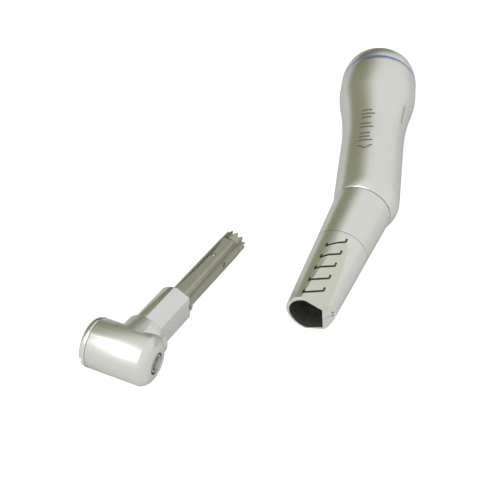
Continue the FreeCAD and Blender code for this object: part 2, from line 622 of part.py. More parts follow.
def locating_ball():
    """The ball that stands out of the tube's flat."""
    ball = doc.addObject("Part::Sphere", "locating_ball_whole")
    ball.setExpression("Radius", bound("ball_r"))
    ball.setExpression(".Placement.Base.y", bound("ball_r - ball_stand - tube_flat"))
    ball.setExpression(".Placement.Base.z", bound("ball_pos"))
    trim = block("locating_ball_trim", ("ball_r * 4", "tube_bore + 0.1", "ball_r * 4"),
                 ("-ball_r * 2", "-tube_bore - 0.1", "ball_pos - ball_r * 2"))
    return carve("locating_ball", ball, trim)


def cap_ring():
    """The screwed cap round the push button, with two spanner notches."""
    ring = turned("cap_ring_turned", [
        ("cap_bore", "-seat_pos"), ("cap_seat_r", "-seat_pos"), ("cap_seat_r", "-seam_pos - seam_gap"),
        ("barrel_r", "-seam_pos - seam_gap", "cap_round", -1), ("cap_r", "-cap_pos"),
        ("button_r + sliding", "-cap_pos"), ("button_r + sliding", "-cap_pos + cap_lip"),
        ("cap_bore", "-cap_pos + cap_lip")])
    notches = []
    for side in (-1, 1):
        notches.append(block("cap_notch_%d" % (side + 2), ("notch_depth", "notch_width", "wall"),
                             ("%d * (barrel_r - notch_depth / 2) - notch_depth / 2" % side, "-notch_width / 2",
                              "-cap_pos")))
    return carve("cap_ring", ring, *notches)


def push_button():
    """The domed button with its retaining flange and the boss that presses the plunger."""
    dome_r = "((button_r ^ 2 + (button_pos - button_rim) ^ 2) / (2 * (button_pos - button_rim)))"
    low = "-cap_pos + cap_lip + sliding"
    return turned("push_button", [
        ("0", "-button_pos", dome_r, 1), ("button_r", "-button_rim"), ("button_r", low),
        ("cap_bore - sliding", low), ("cap_bore - sliding", low + " + button_flange"),
        ("button_r - button_wall", low + " + button_flange"),
        ("button_r - button_wall", "-button_rim + button_wall / 2"),
        ("boss_r", "-button_rim + button_wall / 2"), ("boss_r", "-plunger_head - plunger_gap"),
        ("0", "-plunger_head - plunger_gap")])


def spring(label, radius, wire, low, high, turns):
    """A coil spring: an eight-sided wire section carried along a helix."""
    radius, wire, low, high = (value(text) for text in (radius, wire, low, high))
    pitch = (high - low - 2 * wire) / turns
    path = Part.makeHelix(pitch, pitch * turns, radius)
    path.translate(FreeCAD.Vector(0, 0, low + wire))
    corners = []
    for k in range(8):
        turn = math.radians(45 * k + 22.5)
        corners.append(FreeCAD.Vector(radius + wire * math.cos(turn), 0, low + wire * (1 + math.sin(turn))))
    ring = Part.makePolygon(corners + corners[:1])
    return fixed_shape(label, Part.Wire(path).makePipeShell([ring], True, True))


def spindle():
    """The hollow spindle that holds the bur's shank, with its end ring in the bur face."""
    rear = "-cap_bearing_pos - head_bearing_width / 2"
    return turned("spindle", [
        ("plunger_r + running", rear), ("nut_r", rear), ("nut_r", "-bevel_inner * cos(45) + wall / 3"),
        ("spindle_r", "-bevel_inner * cos(45) + wall / 3"),
        ("spindle_r", "bur_bearing_pos - head_bearing_width / 2"),
        ("nut_r", "bur_bearing_pos - head_bearing_width / 2"), ("nut_r", "face_pos - nut_recess"),
        ("entry_r", "face_pos - nut_recess"), ("entry_r", "face_pos - nut_recess - entry_depth"),
        ("chuck_r", "face_pos - nut_recess - entry_depth"),
        ("chuck_r", "-claw_start"), ("claw_r", "-claw_start"), ("claw_r", "-claw_end"),
        ("plunger_r + running", "-claw_end")])


def chuck_claws():
    """The split collet that grips the bur's shank."""
    body = tube("chuck_claws_whole", "claw_r", "chuck_r", "-claw_end", "-claw_start")
    slit = block("claw_slit", ("claw_r * 4", "claw_slit", "claw_end"),
                 ("-claw_r * 2", "-claw_slit / 2", "-claw_end - claw_slit"))
    return carve("chuck_claws", body, slit)


def chuck_plunger():
    """The pin that opens the claws when the button is pressed."""
    return turned("chuck_plunger", [
        ("0", "-plunger_head"), ("nut_r - running", "-plunger_head"),
        ("nut_r - running", "-plunger_head + plunger_disc"), ("plunger_r", "-plunger_head + plunger_disc"),
        ("plunger_r", "-claw_end - plunger_disc"), ("plunger_r - plunger_nose", "-claw_end - claw_gap"),
        ("0", "-claw_end - claw_gap")])


def bevel_gear(label, bore, hub_pos, hub_r, first_turn):
    """A bevel gear round +Z with its apex at the origin: a coned blank less straight tooth spaces."""
    half = math.radians((90 + value("barrel_tilt")) / 2)
    along = FreeCAD.Vector(math.sin(half), 0, math.cos(half))
    up = FreeCAD.Vector(math.cos(half), 0, -math.sin(half))
    outer, inner, rise, fall = (value("bevel_" + n) for n in ("outer", "inner", "addendum", "dedendum"))
    rim = along * outer - up * (fall + 0.25)
    corners = [along * inner + up * rise, along * outer + up * rise, rim]
    corners += [FreeCAD.Vector(value(hub_r), 0, rim.z + 0.15), FreeCAD.Vector(value(hub_r), 0, value(hub_pos)),
                FreeCAD.Vector(value(bore), 0, value(hub_pos))]
    front = along * inner - up * (fall + 0.1)
    corners += [FreeCAD.Vector(value(bore), 0, front.z), front]
    blank = Part.Face(Part.makePolygon(corners + corners[:1])).revolve(
        FreeCAD.Vector(), FreeCAD.Vector(0, 0, 1), 360)
    top, root = value("bevel_slot") / 2, value("bevel_slot_root") / 2
    side = FreeCAD.Vector(0, 1, 0)
    base = along * (inner - 0.5)
    lean = (top - root) / fall
    high = rise + 0.2
    space = [base + up * high + side * (top + lean * high), base + up * high - side * (top + lean * high),
             base - up * fall - side * root, base - up * fall + side * root]
    tool = Part.Face(Part.makePolygon(space + space[:1])).extrude(along * (outer - inner + 1.5))
    count = int(value("bevel_teeth"))
    spaces = []
    for k in range(count):
        copy = tool.copy()
        copy.rotate(FreeCAD.Vector(), FreeCAD.Vector(0, 0, 1), first_turn + 360 * k / count)
        spaces.append(copy)
    return fixed_shape(label, blank.cut(spaces))


# ---------------------------------------------------------------- the whole handpiece
def bench_lay():
    """Each local frame's placement on the bench, before the pair is centred."""
    lift = math.asin((value("wide_r") - value("grip_r")) / value("wide_pos"))
    dip = math.asin((value("grip_r") - value("mouth_r")) / value("mouth_pos"))
    bend = math.radians(value("bend_angle"))
    roll = math.asin((math.sin(dip) - math.cos(bend) * math.sin(lift)) / math.sin(bend) / math.cos(lift))
    pitch = -math.asin((value("barrel_r") - value("tube_r")) / value("crown_pos"))
    lays = {"handle": (value("handle_yaw"), lift, roll, (0, 0, value("grip_r"))),
            "neck": (value("head_yaw"), pitch, 0.0,
                     (value("head_offset_x"), value("head_offset_y"), value("barrel_r")))}
    places = {}
    for name, (yaw, rise, turn, origin) in lays.items():
        yaw = math.radians(yaw)
        axis = FreeCAD.Vector(math.sin(yaw) * math.cos(rise), math.cos(yaw) * math.cos(rise), math.sin(rise))
        level = FreeCAD.Vector(math.cos(yaw), -math.sin(yaw), 0)
        up = level.cross(axis)
        side = level * math.cos(turn) + up * math.sin(turn)
        turned_to = FreeCAD.Rotation(side, axis.cross(side), axis, "ZXY")
        places[name] = FreeCAD.Placement(FreeCAD.Vector(*origin), turned_to)
    places["nose"] = places["handle"] * FreeCAD.Placement(FreeCAD.Vector(), nose_turn())
    places["barrel"] = places["neck"] * FreeCAD.Placement(FreeCAD.Vector(), barrel_turn())
    return places


def build_shank():
    """Every piece of the shank, in the handle and nose frames."""
    for piece in (handle_sleeve, ratio_ring, rear_collar, coupling_tube, catch_ring, inner_core,
                  rear_drive_shaft, drive_dog):
        node(piece(), "handle")
    node(crown("bend_gear", "bend_gear_pos", "bend_gear_length",
               "(tube_r - sliding)", "drive_r", "(-1)"), "handle")
    for name in ("front", "back"):
        ball_bearing("drive_%s_bearing" % name, "handle", "drive_r", "race_seat_r", name + "_bearing_pos",
                     "rear_bearing_width")
    for piece in (nose_sleeve, light_rod, release_ring, release_spring, latch_pin):
        node(piece(), "nose")
    for pipe in spray_tubes():
        node(pipe, "nose")


def build_head():
    """Every piece of the head, in the neck and barrel frames."""
    for piece in (head_housing, neck_sleeve, shaft_tube, locating_ball):
        node(piece(), "neck")
    for name in ("front", "back"):
        node(tube("shaft_%s_bush" % name, "tube_bore", "shaft_r + running", "bush_" + name,
                  "bush_%s + bush_length" % name), "neck")
    node(tube("drive_shaft", "shaft_r", "0", "pinion_front", "crown_pos - crown_tooth"), "neck")
    node(crown("crown_gear", "crown_pos", "crown_pos - tube_pos - crown_gap", "(tube_r - sliding)", "shaft_r",
               "1"), "neck")
    half_space = 180 / value("bevel_teeth")
    node(bevel_gear("drive_pinion", "shaft_r", "pinion_bearing_pos - head_bearing_width / 2", "pinion_hub",
                    half_space), "neck")
    ball_bearing("pinion_bearing", "neck", "shaft_r", "pinion_seat_r", "pinion_bearing_pos",
                 "head_bearing_width")
    gear = bevel_gear("spindle_gear", "nut_r", "cap_bearing_pos - head_bearing_width / 2", "gear_hub", 0)
    gear.Shape = gear.Shape.rotated(FreeCAD.Vector(), FreeCAD.Vector(0, 1, 0), 180)
    node(gear, "barrel")
    ball_bearing("bur_bearing", "barrel", "nut_r", "barrel_bore", "bur_bearing_pos", "head_bearing_width")
    ball_bearing("cap_bearing", "barrel", "nut_r", "barrel_bore", "-cap_bearing_pos", "head_bearing_width")
    for piece in (spindle, chuck_claws, chuck_plunger, cap_ring, push_button):
        node(piece(), "barrel")
    rear = "-cap_bearing_pos - head_bearing_width / 2"
    node(tube("spring_washer", "barrel_bore", "washer_r", rear + " - washer_width", rear), "barrel")
    node(spring("button_spring", "button_coil_r", "button_wire", "-button_rim + button_wall / 2",
                rear + " - washer_width", 3), "barrel")
    node(spring("chuck_spring", "chuck_coil_r", "chuck_wire",
                "-plunger_head + plunger_gap", rear, 3), "barrel")


def set_down(frames):
    """Place every sub-part: lowest points on the bench, origin under the middle of the pair."""
    places = bench_lay()
    for pair in (("handle", "nose"), ("neck", "barrel")):
        low = min(exact_box(obj, places[frame]).ZMin for obj, frame in frames if frame in pair)
        for frame in pair:
            places[frame].Base.z -= low
    boxes = [exact_box(obj, places[frame]) for obj, frame in frames]
    middle = FreeCAD.Vector((min(b.XMin for b in boxes) + max(b.XMax for b in boxes)) / 2,
                            (min(b.YMin for b in boxes) + max(b.YMax for b in boxes)) / 2, 0)
    for place in places.values():
        place.Base -= middle
    return places


def exact_box(obj, place):
    """A sub-part's box at a placement, measured on its true surfaces."""
    shape = obj.Shape.copy()
    shape.Placement = place * shape.Placement
    return shape.optimalBoundingBox(False, False)


build_shank()
build_head()
doc.recompute()
for obj in doc.Objects:
    if {"Invalid", "Error"} & set(obj.State):
        raise RuntimeError("%s did not rebuild: %s" % (obj.Label, obj.State))
    if obj.TypeId == "PartDesign::PolarPattern" and obj.Shape.Volume >= obj.Originals[0].Shape.Volume:
        raise RuntimeError("%s cut nothing" % obj.Label)
PLACES = set_down(NODES)
for obj, frame in NODES:
    obj.Placement = PLACES[frame] * obj.Placement
doc.recompute()
os.makedirs("parts", exist_ok=True)
for obj, frame in NODES:
    if obj.Shape.isNull() or not obj.Shape.isValid():
        raise RuntimeError("%s is not a sound solid" % obj.Label)
    obj.Shape.exportStep("parts/%s.step" % obj.Label)
print("%d sub-parts written" % len(NODES))
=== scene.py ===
import json
import logging
import math
from dataclasses import dataclass, field
from enum import Enum

import bpy
import numpy as np
from mathutils import Matrix, Vector


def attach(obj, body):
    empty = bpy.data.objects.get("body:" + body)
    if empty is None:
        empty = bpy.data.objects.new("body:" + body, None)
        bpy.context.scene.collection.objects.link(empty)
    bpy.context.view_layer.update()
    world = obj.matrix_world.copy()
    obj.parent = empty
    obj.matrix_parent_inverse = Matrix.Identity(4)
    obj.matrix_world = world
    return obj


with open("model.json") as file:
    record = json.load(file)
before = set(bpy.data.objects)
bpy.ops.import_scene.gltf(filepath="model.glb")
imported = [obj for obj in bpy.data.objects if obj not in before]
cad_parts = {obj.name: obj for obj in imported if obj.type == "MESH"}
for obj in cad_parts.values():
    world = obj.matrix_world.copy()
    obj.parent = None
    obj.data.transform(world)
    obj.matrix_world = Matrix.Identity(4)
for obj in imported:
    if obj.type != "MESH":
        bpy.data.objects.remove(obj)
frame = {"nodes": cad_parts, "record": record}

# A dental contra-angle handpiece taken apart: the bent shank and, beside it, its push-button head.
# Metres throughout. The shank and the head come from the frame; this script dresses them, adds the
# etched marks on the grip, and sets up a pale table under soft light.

LOG = logging.getLogger("handpiece")
MM = 0.001
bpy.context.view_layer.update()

BEND_TO_RING = 8.45  # millimetres along the nose from the bend to the release ring's middle
BEND_TO_DRIVE = 15.0  # millimetres along the grip from the bend to the rear drive's place


# ------------------------------------------------------------------ axes of the two halves
@dataclass(frozen=True)
class Axes:
    """A right-handed set of axes at a place: z lies along an axis of revolution."""

    origin: Vector
    x: Vector
    y: Vector
    z: Vector

    def matrix(self) -> Matrix:
        """The rotation whose columns are the three axes."""
        return Matrix((self.x, self.y, self.z)).transposed()


def joint(name: str) -> dict:
    """Looks up one joint in the record.

    Args:
        name: The joint's name.

    Returns:
        The record's entry for it.
    """
    return next(j for j in frame["record"]["behaviour"]["joints"] if j["name"] == name)


def axes_from(name: str, start: float, towards: Vector) -> Axes:
    """Axes whose z is a joint's axis and whose x leans towards a direction.

    Args:
        name: The joint in the record.
        start: How far along the axis the joint's place lies, in metres from the wanted origin.
        towards: The direction that x points to, as nearly as it can.

    Returns:
        The axes at the wanted origin.
    """
    found = joint(name)
    z = Vector(found["axis"]).normalized()
    x = (towards - z * towards.dot(z)).normalized()
    return Axes(Vector(found["pos_m"]) - z * start, x, z.cross(x), z)


class Lay(Enum):
    """Which way a metal's grain runs: round the axis, along it, or no way at all."""

    ROUND = (2.5, 2.5, 0.045)
    ALONG = (0.06, 0.06, 3.0)
    NONE = (0.09, 0.09, 0.09)


# ------------------------------------------------------------------ shared effects
def new_group(name: str, inputs: dict[str, tuple[str, float | tuple]],
              outputs: list[str]) -> bpy.types.NodeTree:
    """A shader node group with named inputs and value outputs.

    Args:
        name: The group's name.
        inputs: Each input's name with its socket type and default.
        outputs: Names of the value outputs.

    Returns:
        The empty group, with its input and output nodes in place.
    """
    tree = bpy.data.node_groups.new(name, "ShaderNodeTree")
    for label, (kind, default) in inputs.items():
        socket = tree.interface.new_socket(name=label, in_out="INPUT", socket_type=kind)
        if kind == "NodeSocketFloat":
            socket.default_value = default
    for label in outputs:
        tree.interface.new_socket(name=label, in_out="OUTPUT", socket_type="NodeSocketFloat")
    tree.nodes.new("NodeGroupInput")
    tree.nodes.new("NodeGroupOutput")
    return tree


def noise_mask(tree: bpy.types.NodeTree, vector: bpy.types.NodeSocket, scale: float, detail: float,
               low: float, high: float) -> bpy.types.NodeSocket:
    """A noise stretched so that low to high becomes 0 to 1.

    Args:
        tree: The node tree to add it to.
        vector: The coordinates it is drawn in.
        scale: How fine it is.
        detail: How many octaves it has.
        low: The noise value that becomes 0.
        high: The noise value that becomes 1.

    Returns:
        The stretched value's socket.
    """
    noise = tree.nodes.new("ShaderNodeTexNoise")
    noise.inputs["Scale"].default_value = scale
    noise.inputs["Detail"].default_value = detail
    tree.links.new(vector, noise.inputs["Vector"])
    spread = tree.nodes.new("ShaderNodeMapRange")
    spread.inputs["From Min"].default_value = low
    spread.inputs["From Max"].default_value = high
    tree.links.new(noise.outputs["Fac"], spread.inputs["Value"])
    return spread.outputs["Result"]


def grain_group() -> bpy.types.NodeTree:
    """Fine tool or blasting marks: a mask for tone and roughness, and a height for the bump.

    Returns:
        The node group.
    """
    tree = new_group("surface_grain", {"Vector": ("NodeSocketVector", (0, 0, 0))}, ["Mask", "Height"])
    source, sink = tree.nodes["Group Input"], tree.nodes["Group Output"]
    vector = source.outputs["Vector"]
    tree.links.new(noise_mask(tree, vector, 1.0, 5.0, 0.3, 0.7), sink.inputs["Mask"])
    tree.links.new(noise_mask(tree, vector, 1.6, 3.0, 0.2, 0.8), sink.inputs["Height"])
    return tree


def handling_group() -> bpy.types.NodeTree:
    """Faint wipe marks and fingering: soft patches some millimetres across.

    Returns:
        The node group.
    """
    tree = new_group("handling_film", {"Vector": ("NodeSocketVector", (0, 0, 0)),
                                       "Amount": ("NodeSocketFloat", 0.05)}, ["Mask"])
    source, sink = tree.nodes["Group Input"], tree.nodes["Group Output"]
    patches = noise_mask(tree, source.outputs["Vector"], 190.0, 6.0, 0.42, 0.72)
    scaled = tree.nodes.new("ShaderNodeMath")
    scaled.operation = "MULTIPLY"
    tree.links.new(patches, scaled.inputs[0])
    tree.links.new(source.outputs["Amount"], scaled.inputs[1])
    tree.links.new(scaled.outputs["Value"], sink.inputs["Mask"])
    return tree


# ------------------------------------------------------------------ finishes
COAT_ROUGHNESS = 0.08
BUMP_DEPTH = 0.02  # millimetres


@dataclass(frozen=True)
class Finish:
    """One finish of this handpiece: its two tones, how rough it is and which way its grain runs."""

    name: str
    dark: tuple[float, float, float]
    light: tuple[float, float, float]
    rough: tuple[float, float]
    lay: Lay = Lay.NONE
    metallic: float = 1.0
    bump: float = 0.04
    film: float = 0.05
    coat: float = 0.0
    glass: float = 0.0
    rim: float = 0.72

    def material(self, axes: Axes, groups: dict[str, bpy.types.NodeTree]) -> bpy.types.Material:
        """Builds the material with its grain laid out in the given axes.

        Args:
            axes: The axes of the half that the finish is used on.
            groups: The shared effects by name.

        Returns:
            The finished material.
        """
        made = bpy.data.materials.new(self.name)
        made.use_nodes = True
        tree = made.node_tree
        shader = tree.nodes["Principled BSDF"]
        shader.inputs["Metallic"].default_value = self.metallic
        shader.inputs["Specular Tint"].default_value = (self.rim,) * 3 + (1,)
        shader.inputs["Coat Weight"].default_value = self.coat
        shader.inputs["Coat Roughness"].default_value = COAT_ROUGHNESS
        shader.inputs["Transmission Weight"].default_value = self.glass
        coordinates = tree.nodes.new("ShaderNodeTexCoord")
        place = tree.nodes.new("ShaderNodeMapping")
        place.vector_type = "TEXTURE"
        place.inputs["Location"].default_value = axes.origin
        place.inputs["Rotation"].default_value = axes.matrix().to_euler()
        place.inputs["Scale"].default_value = [size * MM for size in self.lay.value]
        tree.links.new(coordinates.outputs["Object"], place.inputs["Vector"])
        grain = tree.nodes.new("ShaderNodeGroup")
        grain.node_tree = groups["grain"]
        tree.links.new(place.outputs["Vector"], grain.inputs["Vector"])
        film = tree.nodes.new("ShaderNodeGroup")
        film.node_tree = groups["film"]
        film.inputs["Amount"].default_value = self.film
        tree.links.new(coordinates.outputs["Object"], film.inputs["Vector"])
        tone = tree.nodes.new("ShaderNodeMix")
        tone.data_type = "RGBA"
        tone.inputs["A"].default_value = (*self.dark, 1)
        tone.inputs["B"].default_value = (*self.light, 1)
        tree.links.new(grain.outputs["Mask"], tone.inputs["Factor"])
        tree.links.new(tone.outputs["Result"], shader.inputs["Base Color"])
        rough = tree.nodes.new("ShaderNodeMapRange")
        rough.inputs["To Min"].default_value = self.rough[0]
        rough.inputs["To Max"].default_value = self.rough[1]
        tree.links.new(grain.outputs["Mask"], rough.inputs["Value"])
        filmed = tree.nodes.new("ShaderNodeMath")
        filmed.operation = "ADD"
        tree.links.new(rough.outputs["Result"], filmed.inputs[0])
        tree.links.new(film.outputs["Mask"], filmed.inputs[1])
        tree.links.new(filmed.outputs["Value"], shader.inputs["Roughness"])
        bump = tree.nodes.new("ShaderNodeBump")
        bump.inputs["Strength"].default_value = self.bump
        bump.inputs["Distance"].default_value = BUMP_DEPTH * MM
        tree.links.new(grain.outputs["Height"], bump.inputs["Height"])
        tree.links.new(bump.outputs["Normal"], shader.inputs["Normal"])
        return made


SATIN = Finish("satin_nickel", (0.64, 0.65, 0.61), (0.72, 0.73, 0.69), (0.25, 0.34), film=0.04)
SATIN_HEAD = Finish("satin_head", (0.64, 0.65, 0.61), (0.72, 0.73, 0.69), (0.30, 0.40))
# Painted shade: a darker, more olive copy of the satin that stands in for the dim reflection on the
# nose's cheek flats.
CHEEK_PAINTED_SHADE = Finish("satin_painted_cheek_shade", (0.56, 0.57, 0.49), (0.63, 0.64, 0.55), (0.27, 0.36), film=0.04)
MILLED = Finish("milled_flats", (0.62, 0.63, 0.62), (0.70, 0.71, 0.70), (0.20, 0.30),
                Lay.ALONG, bump=0.03)
POLISHED = Finish("polished_cap", (0.70, 0.69, 0.65), (0.74, 0.73, 0.70), (0.10, 0.15),
                  Lay.ROUND, bump=0.03)
BLUE = Finish("blue_enamel", (0.030, 0.105, 0.44), (0.045, 0.14, 0.54), (0.25, 0.35),
              metallic=0.0, bump=0.03, coat=0.6)
TUBE = Finish("turned_tube", (0.33, 0.33, 0.26), (0.44, 0.44, 0.36), (0.26, 0.38),
              Lay.ROUND, bump=0.10)
CORE = Finish("core_alloy", (0.30, 0.30, 0.29), (0.36, 0.36, 0.35), (0.35, 0.45), Lay.ROUND)
BUSH = Finish("bush_brass", (0.52, 0.38, 0.16), (0.62, 0.46, 0.22), (0.25, 0.35), Lay.ROUND)
BEARING = Finish("bearing_steel", (0.58, 0.58, 0.58), (0.64, 0.64, 0.64), (0.10, 0.18),
                 Lay.ROUND, bump=0.02)
DRIVE = Finish("drive_steel", (0.46, 0.45, 0.42), (0.58, 0.57, 0.54), (0.22, 0.32), Lay.ROUND)
LIGHT = Finish("light_glass", (0.75, 0.78, 0.76), (0.85, 0.87, 0.85), (0.12, 0.20),
               metallic=0.0, glass=0.4)
DARK = Finish("oiled_steel", (0.06, 0.06, 0.055), (0.10, 0.10, 0.09), (0.30, 0.40), Lay.ROUND)
# Painted shade: a near-black brown that stands in for the shade inside the nose's finger grooves.
GROOVE_PAINTED_SHADE = Finish("painted_groove_shade", (0.085, 0.075, 0.04), (0.15, 0.13, 0.08), (0.40, 0.50))
ETCH = Finish("laser_etch", (0.125, 0.105, 0.075), (0.20, 0.17, 0.13), (0.42, 0.55),
              Lay.ALONG, metallic=0.6)


class Wardrobe:
    """Holds the shared effects and each finish's material, made the first time it is asked for."""

    def __init__(self) -> None:
        """Builds the shared effects once."""
        self.groups: dict[str, bpy.types.NodeTree] = {"grain": grain_group(), "film": handling_group()}
        self.made: dict[str, bpy.types.Material] = {}

    def dress(self, piece: bpy.types.Object, finish: Finish, axes: Axes) -> None:
        """Gives a piece one finish, laid out in the axes of the half that it belongs to.

        Args:
            piece: The piece to dress.
            finish: What it is finished with.
            axes: The axes of that half.
        """
        piece.data.materials.clear()
        piece.data.materials.append(self.material(finish, axes))

    def material(self, finish: Finish, axes: Axes) -> bpy.types.Material:
        """A finish's material, made the first time it is asked for.

        Args:
            finish: The finish.
            axes: The axes of the half that it is first used on.

        Returns:
            The shared material.
        """
        if finish.name not in self.made:
            self.made[finish.name] = finish.material(axes, self.groups)
        return self.made[finish.name]


WELD_REACH = 0.0005  # millimetres
EDGE_STEPS = 2
EDGE_ANGLE = 38.0  # degrees; a sharper turn than this is an edge


def soften_edges(piece: bpy.types.Object, width: float) -> None:
    """Breaks a CAD node's sharp edges by a hair, after its loose triangles are joined.

    Args:
        piece: The CAD node.
        width: The width of the broken edge in millimetres.
    """
    weld = piece.modifiers.new("join_triangles", "WELD")
    weld.merge_threshold = WELD_REACH * MM
    bevel = piece.modifiers.new("broken_edges", "BEVEL")
    bevel.width = width * MM
    bevel.segments = EDGE_STEPS
    bevel.limit_method = "ANGLE"
    bevel.angle_limit = math.radians(EDGE_ANGLE)
    bevel.use_clamp_overlap = True
    bevel.harden_normals = True


# ------------------------------------------------------------------ the shank
@dataclass(frozen=True)
class NoseCheeks:
    """The nose's cheeks: which faces of the finger grooves get a painted shade, and which faces in the
    flats get a darker satin as painted shade.

    Sizes are in millimetres and degrees, from the mouth and the back of the nose's cone.
    """

    mouth: float = 36.45
    mouth_r: float = 5.06
    back: float = 16.9
    back_r: float = 6.05
    facet_turn: float = 72.0
    facet_mouth: float = 4.12
    facet_tilt: float = 5.9
    half_width: float = 2.7
    shallow: float = 0.03
    deep: float = 0.33
    skin: float = 0.03
    back_margin: float = 1.0
    mouth_margin: float = 0.5

    def apply(self, piece: bpy.types.Object, axes: Axes, groove: bpy.types.Material,
              cheek: bpy.types.Material) -> tuple[int, int]:
        """Gives the groove faces the second material, a painted shade, and the flats the third, a
        darker satin that paints their shade.

        A face's depth is the smaller of its distance inside the nose's cone and its distance
        inside the cheek's flat; groove faces are a little deep and near the middle of a cheek.

        Args:
            piece: The nose.
            axes: The nose's axes.
            groove: The grooves' painted shade.
            cheek: The flats' darker satin, a painted shade.

        Returns:
            How many faces took each.
        """
        mesh = piece.data
        mesh.materials.append(groove)
        mesh.materials.append(cheek)
        centres = np.empty(len(mesh.polygons) * 3)
        mesh.polygons.foreach_get("center", centres)
        local = (centres.reshape(-1, 3) - np.array(axes.origin)) @ np.array(axes.matrix()) / MM
        x, y, along = local.T
        fall = (self.back_r - self.mouth_r) / (self.mouth - self.back)
        in_cone = self.mouth_r + fall * (self.mouth - along) - np.hypot(x, y)
        turn = math.radians(self.facet_turn)
        flat = self.facet_mouth + math.tan(math.radians(self.facet_tilt)) * (self.mouth - along)
        in_flat = flat - (x * math.cos(turn) + np.abs(y) * math.sin(turn))
        depth = np.minimum(in_cone, in_flat)
        grooves = ((depth > self.shallow) & (depth < self.deep) & (np.abs(x) < self.half_width)
                   & (along > self.back + self.back_margin)
                   & (along < self.mouth - self.mouth_margin))
        flats = (np.abs(in_flat) < self.skin) & (in_cone > self.skin) & ~grooves
        # Groove faces get the painted shade, flat faces the darker satin that paints their shade.
        mesh.polygons.foreach_set("material_index", (grooves + 2 * flats).astype(np.int32))
        return int(grooves.sum()), int(flats.sum())


@dataclass
class EtchedMark:
    """A plain etched mark on the grip: bars, with or without a chevron, in place of lettering.

    Sizes are in millimetres along and across the grip, turns in degrees; bars are shares of length.
    """

    grip_r: float = 7.6
    flare_start: float = 19.5
    flare_arc: float = 68.3
    turn: float = -100.0
    start: float = 9.9
    length: float = 14.6
    height: float = 3.3
    stand: float = 0.012
    width: float = 0.42
    chevron: bool = True
    bars: tuple[float, ...] = (0.20, 0.29, 0.38, 0.54, 0.63, 0.79, 0.88, 0.97)
    name: str = "etched_mark"
    rows: int = 9
    columns: int = 5
    lean_share: float = 0.36
    short_share: float = 0.55
    tall_every: int = 3
    plate: float = 0.02

    def surface(self, axes: Axes, along: np.ndarray, across: np.ndarray) -> np.ndarray:
        """Points on the grip: radius is the plain grip's, growing as an arc of a large circle past
        the start of the flare, and the width across is laid out as an angle round the axis.

        Args:
            axes: The grip's axes.
            along: Distances from the bend in millimetres.
            across: Distances round the grip from the middle of the mark in millimetres.

        Returns:
            The points in metres, as rows of three.
        """
        past = np.maximum(along - self.flare_start, 0.0)
        radius = self.grip_r + self.stand + self.flare_arc - np.sqrt(self.flare_arc ** 2 - past ** 2)
        angle = math.radians(self.turn) + across / self.grip_r
        local = np.stack([radius * np.cos(angle), radius * np.sin(angle), along], axis=-1) * MM
        return local @ np.array(axes.matrix()).T + np.array(axes.origin)

    def patch(self, axes: Axes, low: float, high: float, bottom: float, top: float,
              lean: float) -> tuple[np.ndarray, np.ndarray]:
        """A four-sided patch of the mark as a grid: straight in both ways, sheared by lean.

        Args:
            axes: The grip's axes.
            low: Start along the grip, millimetres.
            high: End along the grip, millimetres.
            bottom: Lower edge across the mark, millimetres.
            top: Upper edge across the mark, millimetres.
            lean: How far the top edge is shifted along the grip, millimetres.

        Returns:
            The grid's points and its faces.
        """
        rows, columns = self.rows, self.columns
        v, u = np.meshgrid(np.linspace(0, 1, rows), np.linspace(0, 1, columns), indexing="ij")
        along = low + (high - low) * u + lean * v
        across = bottom + (top - bottom) * v
        points = self.surface(axes, along.ravel(), across.ravel())
        first = (np.arange(rows - 1)[:, None] * columns + np.arange(columns - 1)[None, :]).ravel()
        faces = np.stack([first, first + columns, first + columns + 1, first + 1], axis=1)
        return points, faces

    def build(self, axes: Axes) -> bpy.types.Object:
        """Makes the mark as one piece of thin closed plates.

        Args:
            axes: The grip's axes.

        Returns:
            The mark's object.
        """
        half, width = self.height / 2, self.width
        patches = []
        if self.chevron:
            lean = self.height * self.lean_share
            patches = [self.patch(axes, self.start, self.start + width, 0.0, side * half, lean)
                       for side in (1, -1)]
        for k, share in enumerate(self.bars):
            low = self.start + share * self.length
            reach = half if k % self.tall_every == 0 else half * self.short_share
            patches.append(self.patch(axes, low, low + width, -half, reach, 0.0))
        points, faces, count = [], [], 0
        for grid, cells in patches:
            points.append(grid)
            faces.append(cells + count)
            count += len(grid)
        mesh = bpy.data.meshes.new(self.name)
        mesh.from_pydata(np.concatenate(points).tolist(), [], np.concatenate(faces).tolist())
        mesh.update()
        piece = bpy.data.objects.new(self.name, mesh)
        bpy.context.scene.collection.objects.link(piece)
        self.face_outwards(piece, axes)
        wall = piece.modifiers.new("plate", "SOLIDIFY")
        wall.thickness = self.plate * MM
        wall.offset = 0.0
        return piece

    def face_outwards(self, piece: bpy.types.Object, axes: Axes) -> None:
        """Turns over every plate whose faces look at the axis.

        Args:
            piece: The mark, before its wall is added.
            axes: The grip's axes.
        """
        mesh = piece.data
        for face in mesh.polygons:
            arm = face.center - axes.origin
            if face.normal.dot(arm - axes.z * arm.dot(axes.z)) < 0:
                face.flip()
        mesh.update()


